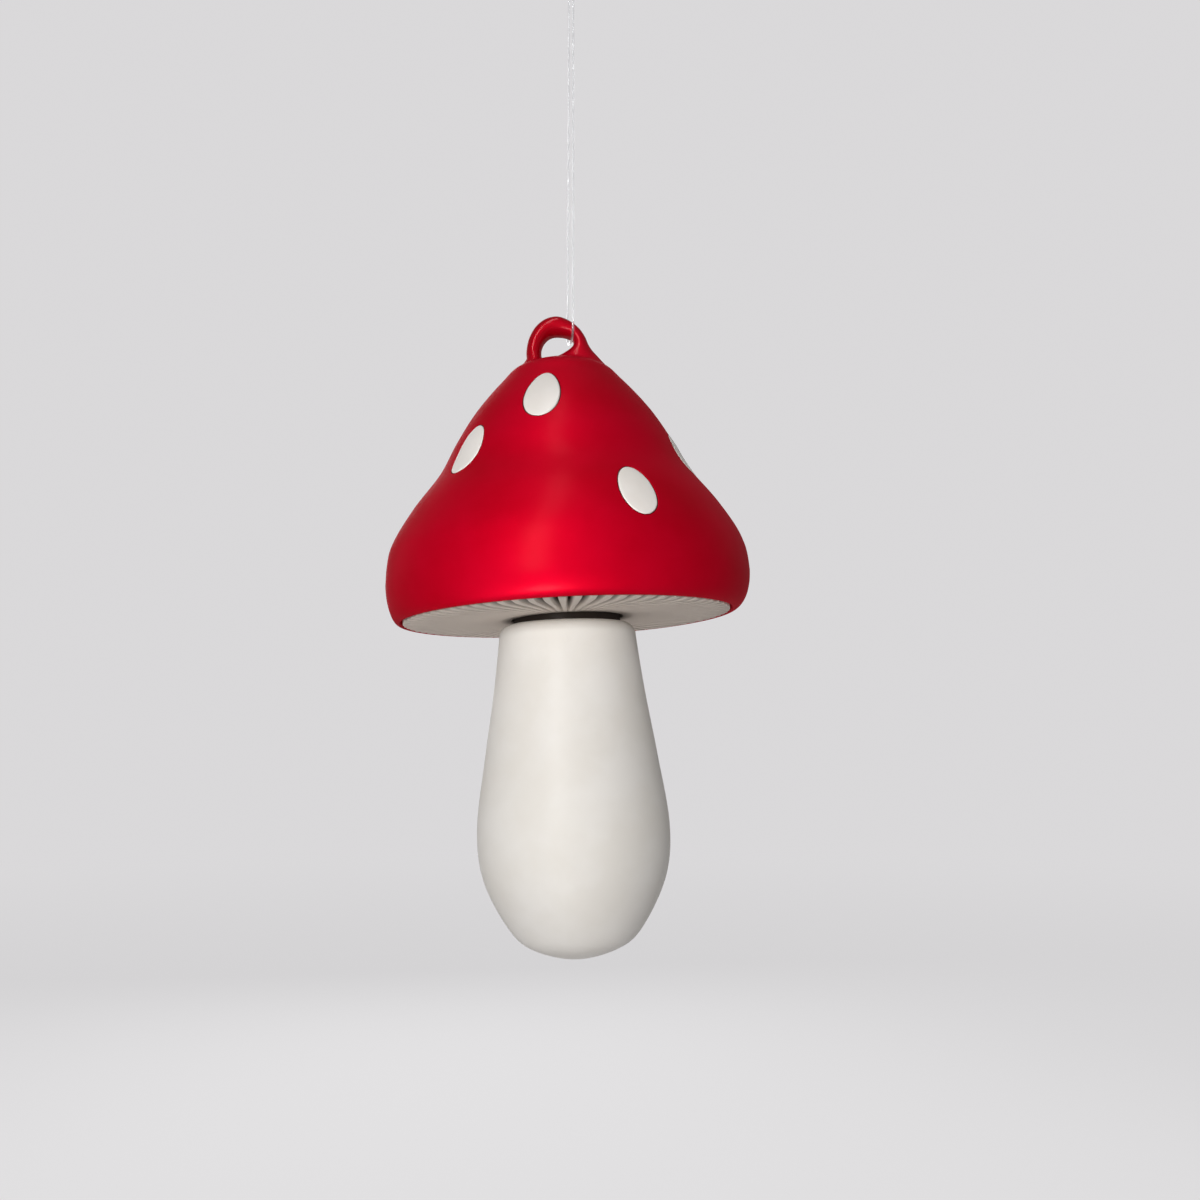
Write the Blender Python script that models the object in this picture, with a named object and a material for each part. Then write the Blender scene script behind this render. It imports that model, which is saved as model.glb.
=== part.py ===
"""Toadstool ornament of cast resin, hung by an eye in its cap on a loop of clear nylon line.

The ornament's own pieces are drawn upright about its axis, with heights counted from the rim of
the cap, and are then hung on the line. The origin is the hanging point, where a hook lifts the
line's small loop, and +Z is up.
"""

import math

import bmesh
import bpy
from mathutils import Vector

MM = 0.001

# Clearances
glue_gap = 0.3 * MM
line_gap = 0.3 * MM

# Cap: half outline from the widest point up to the crown, as radius and height
cap_radius = 29.0 * MM
lip_height = 6.0 * MM
lip_round = 2.6 * MM
belly_radius = 28.1 * MM
belly_height = 11.2 * MM
flank_radius = 24.7 * MM
flank_height = 17.0 * MM
waist_radius = 20.25 * MM
waist_height = 22.8 * MM
brow_radius = 17.45 * MM
brow_height = 28.0 * MM
dome_radius = 14.3 * MM
dome_height = 33.0 * MM
temple_radius = 10.1 * MM
temple_height = 38.0 * MM
crown_radius = 6.8 * MM
crown_height = 40.9 * MM
cap_height = 42.4 * MM
cap_sides = 64

# How the casting is off true: the skin sits to the right, the rim droops to the left and the back
skin_shift = 0.4 * MM
rim_drop = 0.25 * MM
rim_slope_right = 0.018
rim_slope_back = -0.018
slope_low = 3.0 * MM
slope_high = 15.0 * MM

# Eye on the crown, from its left foot over the top to its right foot: the band's outer edge and its
# inner edge as distance right of the axis and height, and half the band's depth, in millimetres; the
# first and the last only steer the feet
band_depth = 2.1
eye_stations = (
    (-7.6, 40.0, -2.2, 41.4, 3.3),
    (-6.1, 41.2, -2.6, 42.2, 2.8),
    (-5.35, 42.3, -2.8, 43.0, 2.35),
    (-5.3, 43.5, -2.8, 43.8, band_depth),
    (-5.1, 44.9, -2.6, 44.6, band_depth),
    (-4.6, 46.4, -2.15, 45.4, band_depth),
    (-3.5, 48.05, -1.45, 46.0, band_depth),
    (-1.85, 49.2, -0.7, 46.25, band_depth),
    (0.0, 49.5, 0.1, 46.25, band_depth),
    (1.8, 48.8, 1.1, 46.1, band_depth),
    (3.4, 47.5, 2.0, 45.75, band_depth),
    (4.4, 46.0, 2.45, 45.1, band_depth),
    (4.95, 44.6, 2.3, 44.4, band_depth),
    (5.6, 43.5, 1.6, 43.8, 2.2),
    (6.6, 42.3, 0.6, 43.2, 2.5),
    (8.1, 40.4, -0.7, 42.5, 3.1),
    (9.0, 39.2, -1.4, 41.6, 3.6),
)
eye_squareness = 2.4
eye_points = 16
peg_share = 0.62
peg_depth = 2.2 * MM

# Spots let into the cap: azimuth from the front towards the right, height, half width, half length
spot_places = (
    (-49.3, 25.0 * MM, 2.9 * MM, 4.6 * MM),
    (-11.5, 33.2 * MM, 2.8 * MM, 5.1 * MM),
    (25.2, 15.9 * MM, 2.8 * MM, 4.8 * MM),
    (76.0, 24.6 * MM, 2.9 * MM, 4.0 * MM),
    (122.0, 14.5 * MM, 3.0 * MM, 4.7 * MM),
    (163.0, 31.0 * MM, 2.8 * MM, 4.9 * MM),
    (206.0, 17.5 * MM, 2.9 * MM, 4.6 * MM),
    (250.0, 25.5 * MM, 3.0 * MM, 4.5 * MM),
)
spot_thickness = 1.2 * MM
spot_proud = 0.1 * MM
spot_rim_share = 0.45
spot_points = 22

# Gill disc in the cap's mouth
gill_radius = 26.0 * MM
gill_thickness = 2.6 * MM
gill_count = 72
gill_collar = 1.6 * MM
gill_start_depth = 0.4 * MM
gill_middle_depth = 1.4 * MM
gill_depth = 1.9 * MM
gill_valley_share = 0.52

# Stem: half outline as radius and distance below the rim
neck_radius = 8.5 * MM
neck_length = 11.0 * MM
neck_chamfer = 0.5 * MM
shoulder_gap = 1.1 * MM
shoulder_radius = 10.9 * MM
shoulder_round = 2.1 * MM
upper_radius = 12.0 * MM
upper_drop = 12.0 * MM
middle_radius = 13.6 * MM
middle_drop = 22.0 * MM
bulb_radius = 15.1 * MM
bulb_drop = 33.0 * MM
lower_radius = 14.25 * MM
lower_drop = 41.0 * MM
toe_radius = 10.45 * MM
toe_drop = 48.5 * MM
tip_radius = 6.7 * MM
tip_drop = 51.7 * MM
stem_drop = 53.3 * MM
stem_sides = 44

# Nylon line, its knot and its hanging loop
line_radius = 0.175 * MM
line_drop = 76.6 * MM
line_rest = 1.95 * MM
strand_spread = 0.5 * MM
knot_radius = 0.85 * MM
knot_height = 1.8 * MM
knot_wraps = 4
knot_groove = 0.14
knot_end = 0.12
knot_gap = 0.5 * MM
loop_height = 14.0 * MM
loop_width = 8.0 * MM
twin_gap = 0.35 * MM

# The ornament's centre of gravity, right of the axis and above the rim, which sets how far it leans
balance_side = 0.5 * MM
balance_height = 2.6 * MM

for old in list(bpy.data.objects):
    bpy.data.objects.remove(old, do_unlink=True)


def smooth(points, steps):
    """A curve through the points; the first and the last only steer its ends."""
    curve = []
    for a, b, c, d in zip(points, points[1:], points[2:], points[3:]):
        for i in range(steps):
            t = i / steps
            curve.append(
                0.5
                * (2 * b + (c - a) * t + (2 * a - 5 * b + 4 * c - d) * t**2 + (3 * b - a - 3 * c + d) * t**3)
            )
    return curve + [points[-2]]


def finish(name, color, roughness, alpha=1.0):
    """A plain finish for one node."""
    material = bpy.data.materials.new(name)
    material.use_nodes = True
    shader = material.node_tree.nodes["Principled BSDF"]
    shader.inputs["Base Color"].default_value = (*color, 1.0)
    shader.inputs["Roughness"].default_value = roughness
    shader.inputs["Metallic"].default_value = 0.0
    shader.inputs["Alpha"].default_value = alpha
    return material


def add_object(name, data, material, parent=None, offset=(0.0, 0.0, 0.0)):
    """A named object with its own material, placed under its parent."""
    item = bpy.data.objects.new(name, data)
    bpy.context.collection.objects.link(item)
    item.data.materials.append(material)
    item.parent = parent
    item.location = offset
    return item


def mesh_from(bm, name, sharp_degrees=40.0):
    """The mesh of an edited form, faces out and shaded smooth."""
    bmesh.ops.recalc_face_normals(bm, faces=bm.faces)
    mesh = bpy.data.meshes.new(name)
    bm.to_mesh(mesh)
    bm.free()
    mesh.shade_smooth()
    mesh.set_sharp_from_angle(angle=math.radians(sharp_degrees))
    return mesh


def turned(name, outline, sides):
    """A solid turned about the axis from (radius, height) pairs that start and end on it."""
    bm = bmesh.new()
    points = [bm.verts.new((radius, 0.0, height)) for radius, height in outline]
    edges = [bm.edges.new(pair) for pair in zip(points, points[1:])]
    bmesh.ops.spin(
        bm,
        geom=points + edges,
        cent=(0.0, 0.0, 0.0),
        axis=(0.0, 0.0, 1.0),
        angle=2 * math.pi,
        steps=sides,
        use_duplicate=False,
    )
    bmesh.ops.remove_doubles(bm, verts=bm.verts, dist=0.001 * MM)
    return mesh_from(bm, name)


def joined_rings(name, rings, closed=False, sharp_degrees=40.0):
    """A closed skin over rings of equally many points; open stacks are capped at both ends."""
    bm = bmesh.new()
    rows = [[bm.verts.new(point) for point in ring] for ring in rings]
    pairs = list(zip(rows, rows[1:]))
    if closed:
        pairs.append((rows[-1], rows[0]))
    else:
        bm.faces.new(rows[0])
        bm.faces.new(rows[-1])
    for row, following in pairs:
        for i in range(len(row)):
            j = (i + 1) % len(row)
            bm.faces.new((row[i], row[j], following[j], following[i]))
    return mesh_from(bm, name, sharp_degrees)


def helper(name, mesh, parent, offset):
    """A form that only cuts or joins another one."""
    item = add_object(name, mesh, finish(name, (0.5, 0.5, 0.5), 0.5), parent, offset)
    item.hide_render = True
    item.display_type = "WIRE"
    return item


def combine(item, other, operation):
    """Joins a helper to an object, or cuts it out."""
    step = item.modifiers.new(other.name, "BOOLEAN")
    step.operation = operation
    step.object = other
    step.solver = "EXACT"


# The cap's outer skin, from the widest point to the crown
skin = smooth(
    [
        Vector((cap_radius, 0.0)),
        Vector((cap_radius, lip_height)),
        Vector((belly_radius, belly_height)),
        Vector((flank_radius, flank_height)),
        Vector((waist_radius, waist_height)),
        Vector((brow_radius, brow_height)),
        Vector((dome_radius, dome_height)),
        Vector((temple_radius, temple_height)),
        Vector((crown_radius, crown_height)),
        Vector((0.0, cap_height)),
        Vector((-crown_radius, crown_height)),
    ],
    3,
)
skin_lengths = [0.0]
for low, high in zip(skin, skin[1:]):
    skin_lengths.append(skin_lengths[-1] + (high - low).length)


def skin_at(length):
    """The skin's point at a length along it, and its outward normal, as radius and height."""
    for i in range(len(skin) - 1):
        if length <= skin_lengths[i + 1] or i == len(skin) - 2:
            share = (length - skin_lengths[i]) / (skin_lengths[i + 1] - skin_lengths[i])
            before = skin[max(i - 1, 0)]
            after = skin[min(i + 2, len(skin) - 1)]
            along = (skin[i + 1] - before).lerp(after - skin[i], share).normalized()
            return skin[i].lerp(skin[i + 1], share), Vector((along.y, -along.x))


def skin_length_at(height):
    """The length along the skin at which it reaches a height."""
    for i in range(len(skin) - 1):
        if skin[i].y <= height <= skin[i + 1].y:
            share = (height - skin[i].y) / (skin[i + 1].y - skin[i].y)
            return skin_lengths[i] + share * (skin_lengths[i + 1] - skin_lengths[i])
    return skin_lengths[-1]


def height_where(curve, reach):
    """The height at which a curve first reaches a distance from the axis."""
    for a, b in zip(curve, curve[1:]):
        if a.x != b.x and min(a.x, b.x) <= reach <= max(a.x, b.x):
            return a.y + (b.y - a.y) * (reach - a.x) / (b.x - a.x)
    return curve[-1].y


def eased(value, low, high):
    """A soft passage from 0 at the low value to 1 at the high one."""
    share = min(1.0, max(0.0, (value - low) / (high - low)))
    return share * share * (3 - 2 * share)


def tilted(point):
    """The rim hangs a little low, and lower at the left and at the back."""
    away = 1 - eased(point.z, slope_low, slope_high)
    sag = rim_slope_right * point.x + rim_slope_back * point.y - rim_drop
    return point + Vector((0.0, 0.0, away * sag))


def shifted(point):
    """The skin sits a little to the right of the mouth, the eye and the stem."""
    outward = eased(math.hypot(point.x, point.y), cap_radius - lip_round, cap_radius)
    share = max(outward, eased(point.z, 0.0, slope_high))
    return tilted(point) + Vector((skin_shift * share, 0.0, 0.0))


def on_cap(azimuth, length, lift):
    """A point of the cap's skin, lifted off it along its normal; azimuth 0 faces the front."""
    place, normal = skin_at(length)
    radius = place.x + lift * normal.x
    return shifted(Vector((radius * math.sin(azimuth), -radius * math.cos(azimuth), place.y + lift * normal.y)))


def oval(place, grow, low, high):
    """Rings of an oval plug that follows the cap's skin, from a lower to an upper lift."""
    degrees, height, half_width, half_length = place
    azimuth = math.radians(degrees)
    middle = skin_length_at(height)
    radius = skin_at(middle)[0].x
    rings = []
    for share, lift in ((spot_rim_share, low), (1.0, low), (1.0, high), (spot_rim_share, high)):
        ring = []
        for i in range(spot_points):
            turn = 2 * math.pi * i / spot_points
            across = share * (half_width + grow) * math.cos(turn) / radius
            along = share * (half_length + grow) * math.sin(turn)
            ring.append(on_cap(azimuth + across, middle + along, lift))
        rings.append(ring)
    return rings


def squared(turn):
    """How far a rounded square of unit size reaches in a direction."""
    return (abs(math.sin(turn)) ** eye_squareness + abs(math.cos(turn)) ** eye_squareness) ** (-1 / eye_squareness)


outside = [Vector((station[0] * MM, station[1] * MM)) for station in eye_stations]
inside = [Vector((station[2] * MM, station[3] * MM)) for station in eye_stations]
half_depths = [Vector((station[4] * MM, 0.0)) for station in eye_stations]


def eye_ring(outer, inner, half_depth):
    """One section of the eye's band, kept just clear of the crown."""
    ring = []
    for i in range(eye_points):
        angle = 2 * math.pi * i / eye_points
        middle = inner.lerp(outer, 0.5 + 0.5 * squared(angle) * math.cos(angle))
        depth = half_depth * squared(angle) * math.sin(angle)
        crown = height_where(skin, math.hypot(middle.x - skin_shift, depth))
        ring.append(Vector((middle.x, depth, max(middle.y, crown + glue_gap))))
    return ring


def peg_rings(foot, grow, low, lift):
    """The peg under a foot: a ring lifted off the crown and an even one low in the crown."""
    centre = sum(foot, Vector()) / len(foot)
    upper = []
    lower = []
    for point in foot:
        out = Vector((point.x - centre.x, point.y))
        flat = Vector((centre.x, 0.0)) + out * peg_share + out.normalized() * grow
        crown = height_where(skin, math.hypot(flat.x - skin_shift, flat.y))
        upper.append(Vector((flat.x, flat.y, crown + lift)))
        lower.append(Vector((flat.x, flat.y, centre.z - low)))
    return [upper, lower]


eye_steps = 2
eye_band = []
for outer, inner, half_depth in zip(
    smooth(outside, eye_steps), smooth(inside, eye_steps), smooth(half_depths, eye_steps)
):
    eye_band.append(eye_ring(outer, inner, half_depth.x))

# Where the line rests in the eye, right of the middle, so that the ornament leans
seat_steps = 12
roof_edge = smooth(inside, seat_steps)
rest_reach = line_radius + line_gap
for before, after in zip(roof_edge, roof_edge[1:]):
    along = (after - before).normalized()
    seat = (before + after) / 2 + Vector((along.y, -along.x)) * rest_reach
    if seat.x >= line_rest:
        break
lean = math.atan((seat.x - balance_side) / (seat.y - balance_height))
band_rise = height_where(smooth(outside, seat_steps), seat.x) - height_where(roof_edge, seat.x)

# The hung ornament turns about its seat on the line
ornament = bpy.data.objects.new("ornament", None)
bpy.context.collection.objects.link(ornament)
ornament.location = (0.0, 0.0, -line_drop)
ornament.rotation_euler = (0.0, -lean, 0.0)
axis_offset = (-seat.x, 0.0, -seat.y)

red = (0.62, 0.004, 0.02)
cream = (0.86, 0.82, 0.76)

# Cap: a solid casting with a rolled lip, a mouth for the gill disc and a socket for the stem
socket_radius = neck_radius + glue_gap
socket_top = neck_length + glue_gap
mouth_radius = gill_radius + glue_gap
mouth_top = gill_thickness + glue_gap
lip_steps = 6
lip = []
for i in range(lip_steps):
    turn = math.pi / 2 * i / lip_steps
    lip.append(
        (
            cap_radius - lip_round * (1 - math.cos(turn)),
            lip_height * (1 - math.sin(turn)),
        )
    )
vert_margin = 0.01 * MM
cap_outline = [(0.0, cap_height)]
cap_outline += [(point.x, point.y) for point in reversed(skin[:-1])]
cap_outline += lip
cap_outline += [
    (mouth_radius, 0.0),
    (mouth_radius, mouth_top),
    (socket_radius, mouth_top),
    (socket_radius, socket_top),
    (0.0, socket_top),
]
cap_mesh = turned("cap", cap_outline, cap_sides)
for vert in cap_mesh.vertices:
    inner = math.hypot(vert.co.x, vert.co.y) < mouth_radius + vert_margin and vert.co.z < socket_top + vert_margin
    vert.co = tilted(vert.co) if inner else shifted(vert.co)
cap = add_object("cap", cap_mesh, finish("cap_resin", red, 0.3), ornament, axis_offset)

# Eye: an arch that stands on the crown with a peg under each foot
left_peg = peg_rings(eye_band[0], 0.0, peg_depth, glue_gap)
right_peg = peg_rings(eye_band[-1], 0.0, peg_depth, glue_gap)
add_object(
    "eye",
    joined_rings("eye", left_peg[::-1] + eye_band + right_peg),
    finish("eye_resin", red, 0.3),
    ornament,
    axis_offset,
)
for side, foot in (("left", eye_band[0]), ("right", eye_band[-1])):
    socket = joined_rings("socket", peg_rings(foot, glue_gap, peg_depth + glue_gap, peg_depth))
    combine(cap, helper(f"{side}_socket", socket, ornament, axis_offset), "DIFFERENCE")

# Spots: cream ovals let flush into shallow seats in the cap
for number, place in enumerate(spot_places, 1):
    pocket = joined_rings("spot_seat", oval(place, glue_gap, spot_proud - spot_thickness - glue_gap, MM))
    combine(cap, helper(f"spot_seat_{number}", pocket, ornament, axis_offset), "DIFFERENCE")
    inlay = joined_rings("spot", oval(place, 0.0, spot_proud - spot_thickness, spot_proud))
    add_object(f"spot_{number}", inlay, finish(f"spot_{number}_resin", cream, 0.5), ornament, axis_offset)


# Gill disc: radial gills with valleys that deepen towards the rim
def gill_ring(radius, valley, height):
    """One ring of the disc's gilled face: two points on each crest and one in each valley."""
    ring = []
    for i in range(gill_count):
        for share, drop in ((-0.5, 0.0), (-0.5 + gill_valley_share / 2, 1.0), (-0.5 + gill_valley_share, 0.0)):
            turn = 2 * math.pi * (i + share) / gill_count
            ring.append(
                tilted(Vector((radius * math.sin(turn), -radius * math.cos(turn), height + drop * valley)))
            )
    return ring


disc_hole = neck_radius + glue_gap
disc_rings = [
    gill_ring(disc_hole, 0.0, gill_thickness),
    gill_ring(disc_hole, 0.0, 0.0),
    gill_ring(disc_hole + gill_collar, gill_start_depth, 0.0),
    gill_ring((disc_hole + gill_radius) / 2, gill_middle_depth, 0.0),
    gill_ring(gill_radius, gill_depth, 0.0),
    gill_ring(gill_radius, 0.0, gill_thickness),
]
add_object(
    "gill_disc",
    joined_rings("gill_disc", disc_rings, closed=True, sharp_degrees=25.0),
    finish("gill_resin", cream, 0.6),
    ornament,
    axis_offset,
)

# Stem: a pear with a rounded shoulder and a neck that plugs through the disc into the cap
shoulder_steps = 4
shoulder = []
for i in range(shoulder_steps + 1):
    turn = math.pi / 2 * i / shoulder_steps
    shoulder.append(
        (
            shoulder_radius - shoulder_round * (1 - math.sin(turn)),
            -shoulder_gap - shoulder_round * (1 - math.cos(turn)),
        )
    )
side = smooth(
    [
        Vector((shoulder_radius, -shoulder_gap)),
        Vector((shoulder_radius, -shoulder_gap - shoulder_round)),
        Vector((upper_radius, -upper_drop)),
        Vector((middle_radius, -middle_drop)),
        Vector((bulb_radius, -bulb_drop)),
        Vector((lower_radius, -lower_drop)),
        Vector((toe_radius, -toe_drop)),
        Vector((tip_radius, -tip_drop)),
        Vector((0.0, -stem_drop)),
        Vector((-tip_radius, -tip_drop)),
    ],
    3,
)
stem_outline = [
    (0.0, neck_length),
    (neck_radius - neck_chamfer, neck_length),
    (neck_radius, neck_length - neck_chamfer),
    (neck_radius, -shoulder_gap),
]
stem_outline += shoulder[:-1]
stem_outline += [(point.x, point.y) for point in side]
add_object(
    "stem",
    turned("stem", stem_outline, stem_sides),
    finish("stem_resin", cream, 0.45),
    ornament,
    axis_offset,
)


def line_object(name, route, material):
    """A nylon line along a route of points, as a round tube with closed ends."""
    curve = bpy.data.curves.new(name, "CURVE")
    curve.dimensions = "3D"
    curve.bevel_depth = line_radius
    curve.bevel_resolution = 2
    curve.use_fill_caps = True
    spline = curve.splines.new("POLY")
    spline.points.add(len(route) - 1)
    for point, place in zip(spline.points, route):
        point.co = (*place, 1.0)
    return add_object(name, curve, material)


# Line: down in front of the eye's band, through the hole and up behind it to the knot
nylon = (0.9, 0.92, 0.93)
knot_bottom = -loop_height - knot_height
wrap_side = band_depth * MM + rest_reach
wrap_rise = band_rise / 2 + rest_reach
strand_top = knot_bottom - knot_gap
wrap_steps = 12
strand_steps = 12
half = []
for i in range(wrap_steps + 1):
    turn = math.pi / 2 * i / wrap_steps
    half.append(
        Vector(
            (
                strand_spread * math.sin(turn),
                -wrap_side * math.sin(turn),
                -line_drop + wrap_rise * (1 - math.cos(turn)),
            )
        )
    )
strand_end = Vector((twin_gap, -twin_gap / 2, strand_top))
for i in range(1, strand_steps + 1):
    half.append(half[wrap_steps].lerp(strand_end, i / strand_steps))
back_half = [Vector((-point.x, -point.y, point.z)) for point in half[1:]]
line_object("thread", half[::-1] + back_half, finish("thread_nylon", nylon, 0.15, 0.45))

# Knot: the line's two strands wrapped round each other and drawn tight
knot_outline = [(0.0, knot_bottom + knot_height)]
knot_rows = 4 * knot_wraps
for i in range(knot_rows + 1):
    share = i / knot_rows
    barrel = math.sin(math.pi * (knot_end + (1 - 2 * knot_end) * share)) ** 0.5
    wrap = 1.0 - knot_groove * (1 + math.cos(2 * math.pi * knot_wraps * share)) / 2
    knot_outline.append((knot_radius * barrel * wrap, knot_bottom + knot_height * (1 - share)))
knot_outline.append((0.0, knot_bottom))
knot = add_object("knot", turned("knot", knot_outline, 16), finish("knot_nylon", nylon, 0.2, 0.6))

# Hanging loop: the line's upper end, drawn up into a drop shape by the hook
loop_steps = 44
loop_start = -loop_height + line_gap
loop_rise = loop_height + line_radius - line_gap
widest = math.sin(math.radians(120)) * math.sin(math.radians(60)) ** 2
loop = []
for i in range(loop_steps + 1):
    turn = 2 * math.pi * i / loop_steps
    swell = math.sin(turn) * math.sin(turn / 2) ** 2 / widest
    loop.append(
        Vector(
            (
                -twin_gap * math.cos(turn / 2) - loop_width / 2 * swell,
                0.0,
                loop_start + loop_rise * (1 - math.cos(turn)) / 2,
            )
        )
    )
line_object("hanging_loop", loop, finish("loop_nylon", nylon, 0.15, 0.45))
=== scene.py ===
import math

import bmesh
import bpy
from mathutils import Matrix, Vector


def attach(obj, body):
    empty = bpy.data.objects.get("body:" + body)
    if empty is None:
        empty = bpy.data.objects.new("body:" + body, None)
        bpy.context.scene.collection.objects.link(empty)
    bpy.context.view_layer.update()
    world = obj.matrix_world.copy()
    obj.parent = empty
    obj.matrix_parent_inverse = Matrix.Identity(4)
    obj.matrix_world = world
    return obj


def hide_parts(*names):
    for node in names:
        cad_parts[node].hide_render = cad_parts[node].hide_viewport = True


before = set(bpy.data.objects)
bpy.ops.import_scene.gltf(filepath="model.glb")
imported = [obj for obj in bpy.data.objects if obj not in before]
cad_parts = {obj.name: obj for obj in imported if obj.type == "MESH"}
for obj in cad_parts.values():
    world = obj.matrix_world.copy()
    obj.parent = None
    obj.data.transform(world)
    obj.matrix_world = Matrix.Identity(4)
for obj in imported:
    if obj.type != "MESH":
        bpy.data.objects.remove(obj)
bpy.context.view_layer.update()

# View
# The photograph is taken from a little below the cap, 0.2 m in front of the hanging toadstool,
# with the camera tipped up. Its frame is 1200 pixels wide and high.
photo_pixels = 1200
focal_pixels = 1300
sensor_width = 36.0
tip_degrees = 6.5
camera_data = bpy.data.cameras.new("camera")
camera_data.sensor_width = sensor_width
camera_data.lens = focal_pixels / photo_pixels * sensor_width
camera_data.clip_start = 0.01
camera_data.clip_end = 20.0
camera = bpy.data.objects.new("camera", camera_data)
bpy.context.scene.collection.objects.link(camera)
camera.location = (0.004875, -0.2070, -0.14253)
camera.rotation_euler = (math.radians(90.0 + tip_degrees), 0.0, 0.0)
bpy.context.scene.camera = camera

# Hanging
# The line lifts the toadstool by the eye's band, a little right of its middle, so the piece leans.
# Every moulded piece is drawn upright about its own axis, with heights from the rim of the cap.
MM = 0.001
line_radius = 0.175 * MM
line_gap = 0.3 * MM
line_drop = 76.6 * MM
rest_side = 1.95 * MM
balance_side = 0.5 * MM
balance_height = 2.6 * MM
edge_steps = 12

# The eye from its left foot over the top to its right foot: the band's outer edge and its inner
# edge as distance right of the axis and height, and half its depth
band_depth = 2.1
eye_stations = (
    (-7.6, 40.0, -2.2, 41.4, 3.3),
    (-6.1, 41.2, -2.6, 42.2, 2.8),
    (-5.35, 42.3, -2.8, 43.0, 2.35),
    (-5.3, 43.5, -2.8, 43.8, band_depth),
    (-5.1, 44.9, -2.6, 44.6, band_depth),
    (-4.6, 46.4, -2.15, 45.4, band_depth),
    (-3.5, 48.05, -1.45, 46.0, band_depth),
    (-1.85, 49.2, -0.7, 46.25, band_depth),
    (0.0, 49.5, 0.1, 46.25, band_depth),
    (1.8, 48.8, 1.1, 46.1, band_depth),
    (3.4, 47.5, 2.0, 45.75, band_depth),
    (4.4, 46.0, 2.45, 45.1, band_depth),
    (4.95, 44.6, 2.3, 44.4, band_depth),
    (5.6, 43.5, 1.6, 43.8, 2.2),
    (6.6, 42.3, 0.6, 43.2, 2.5),
    (8.1, 40.4, -0.7, 42.5, 3.1),
    (9.0, 39.2, -1.4, 41.6, 3.6),
)
outside = [Vector((station[0] * MM, station[1] * MM)) for station in eye_stations]
inside = [Vector((station[2] * MM, station[3] * MM)) for station in eye_stations]


def fair(points, steps):
    """A curve of even bend through the points; the first and the last only steer its ends."""
    curve = []
    for a, b, c, d in zip(points, points[1:], points[2:], points[3:]):
        for i in range(steps):
            t = i / steps
            steady = 2 * b + (c - a) * t
            bend = (2 * a - 5 * b + 4 * c - d) * t**2
            twist = (3 * b - a - 3 * c + d) * t**3
            curve.append(0.5 * (steady + bend + twist))
    return curve + [points[-2]]


def resting_line():
    """Where the line's middle lies in the hole: at its right, just clear of the roof."""
    edge = fair(inside, edge_steps)
    for before, after in zip(edge, edge[1:]):
        along = (after - before).normalized()
        clear = Vector((along.y, -along.x)) * (line_radius + line_gap)
        middle = (before + after) / 2 + clear
        if middle.x >= rest_side:
            break
    return middle


line_middle = resting_line()
lean = math.atan((line_middle.x - balance_side) / (line_middle.y - balance_height))
hung = (
    Matrix.Translation((0.0, 0.0, -line_drop))
    @ Matrix.Rotation(-lean, 4, "Y")
    @ Matrix.Translation((-line_middle.x, 0.0, -line_middle.y))
)

# Cap
# One solid casting of red resin, a bell with a drawn-in waist and a rolled lip, open below for the
# gill disc and the stem's neck. It is polished to a satin gloss after demoulding.
cap_radius = 29.0 * MM
cap_height = 42.4 * MM
lip_round = 2.6 * MM
lip_height = 6.0 * MM
cap_points = (
    (28.8, 2.0),
    (29.0, 6.0),
    (28.1, 11.2),
    (24.7, 17.0),
    (20.25, 22.8),
    (17.45, 28.0),
    (14.3, 33.0),
    (10.1, 38.0),
    (6.8, 40.9),
    (0.0, 42.4),
    (-6.8, 40.9),
)
skin_steps = 10
lip_steps = 20
cap_sides = 192
cap_sharp_degrees = 50.0
skin_shift = 0.4 * MM
rim_drop = 0.25 * MM
rim_slope = Vector((0.018, -0.018))
slope_low = 3.0 * MM
slope_high = 15.0 * MM
gill_radius = 26.0 * MM
gill_thickness = 2.6 * MM
neck_radius = 8.5 * MM
neck_length = 11.0 * MM
glue_gap = 0.3 * MM
mouth_round = 0.35 * MM
hair = 0.01 * MM

# Where each spot is let in: degrees from the front towards the right, height, half width and
# half length
spot_places = (
    (-49.3, 25.0 * MM, 2.9 * MM, 4.6 * MM),
    (-11.5, 33.2 * MM, 2.8 * MM, 5.1 * MM),
    (25.2, 15.9 * MM, 2.8 * MM, 4.8 * MM),
    (76.0, 24.6 * MM, 2.9 * MM, 4.0 * MM),
    (122.0, 14.5 * MM, 3.0 * MM, 4.7 * MM),
    (163.0, 31.0 * MM, 2.8 * MM, 4.9 * MM),
    (206.0, 17.5 * MM, 2.9 * MM, 4.6 * MM),
    (250.0, 25.5 * MM, 3.0 * MM, 4.5 * MM),
)
seat_depth = 1.4 * MM
seat_round = 0.15 * MM
seat_gap = 0.12 * MM
seat_flare = 1.5 * seat_round
cutter_height = 1.0 * MM
oval_points = 72
oval_round_steps = 6

red_dark = (0.40, 0.0, 0.009)
red_light = (0.45, 0.0005, 0.013)
grain = 0.02 * MM


def turned(outline, sides):
    """A form turned about the axis from (radius, height) pairs that start and end on it."""
    bm = bmesh.new()
    top, *points, bottom = outline
    poles = [bm.verts.new((0.0, 0.0, height)) for _, height in (top, bottom)]
    columns = []
    for i in range(sides):
        turn = 2 * math.pi * i / sides
        column = [
            bm.verts.new((radius * math.cos(turn), radius * math.sin(turn), height))
            for radius, height in points
        ]
        columns.append([poles[0], *column, poles[1]])
    for column, following in zip(columns, columns[1:] + columns[:1]):
        for i in range(len(column) - 1):
            corners = (column[i], column[i + 1], following[i + 1], following[i])
            bm.faces.new(dict.fromkeys(corners))
    return bm


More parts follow.
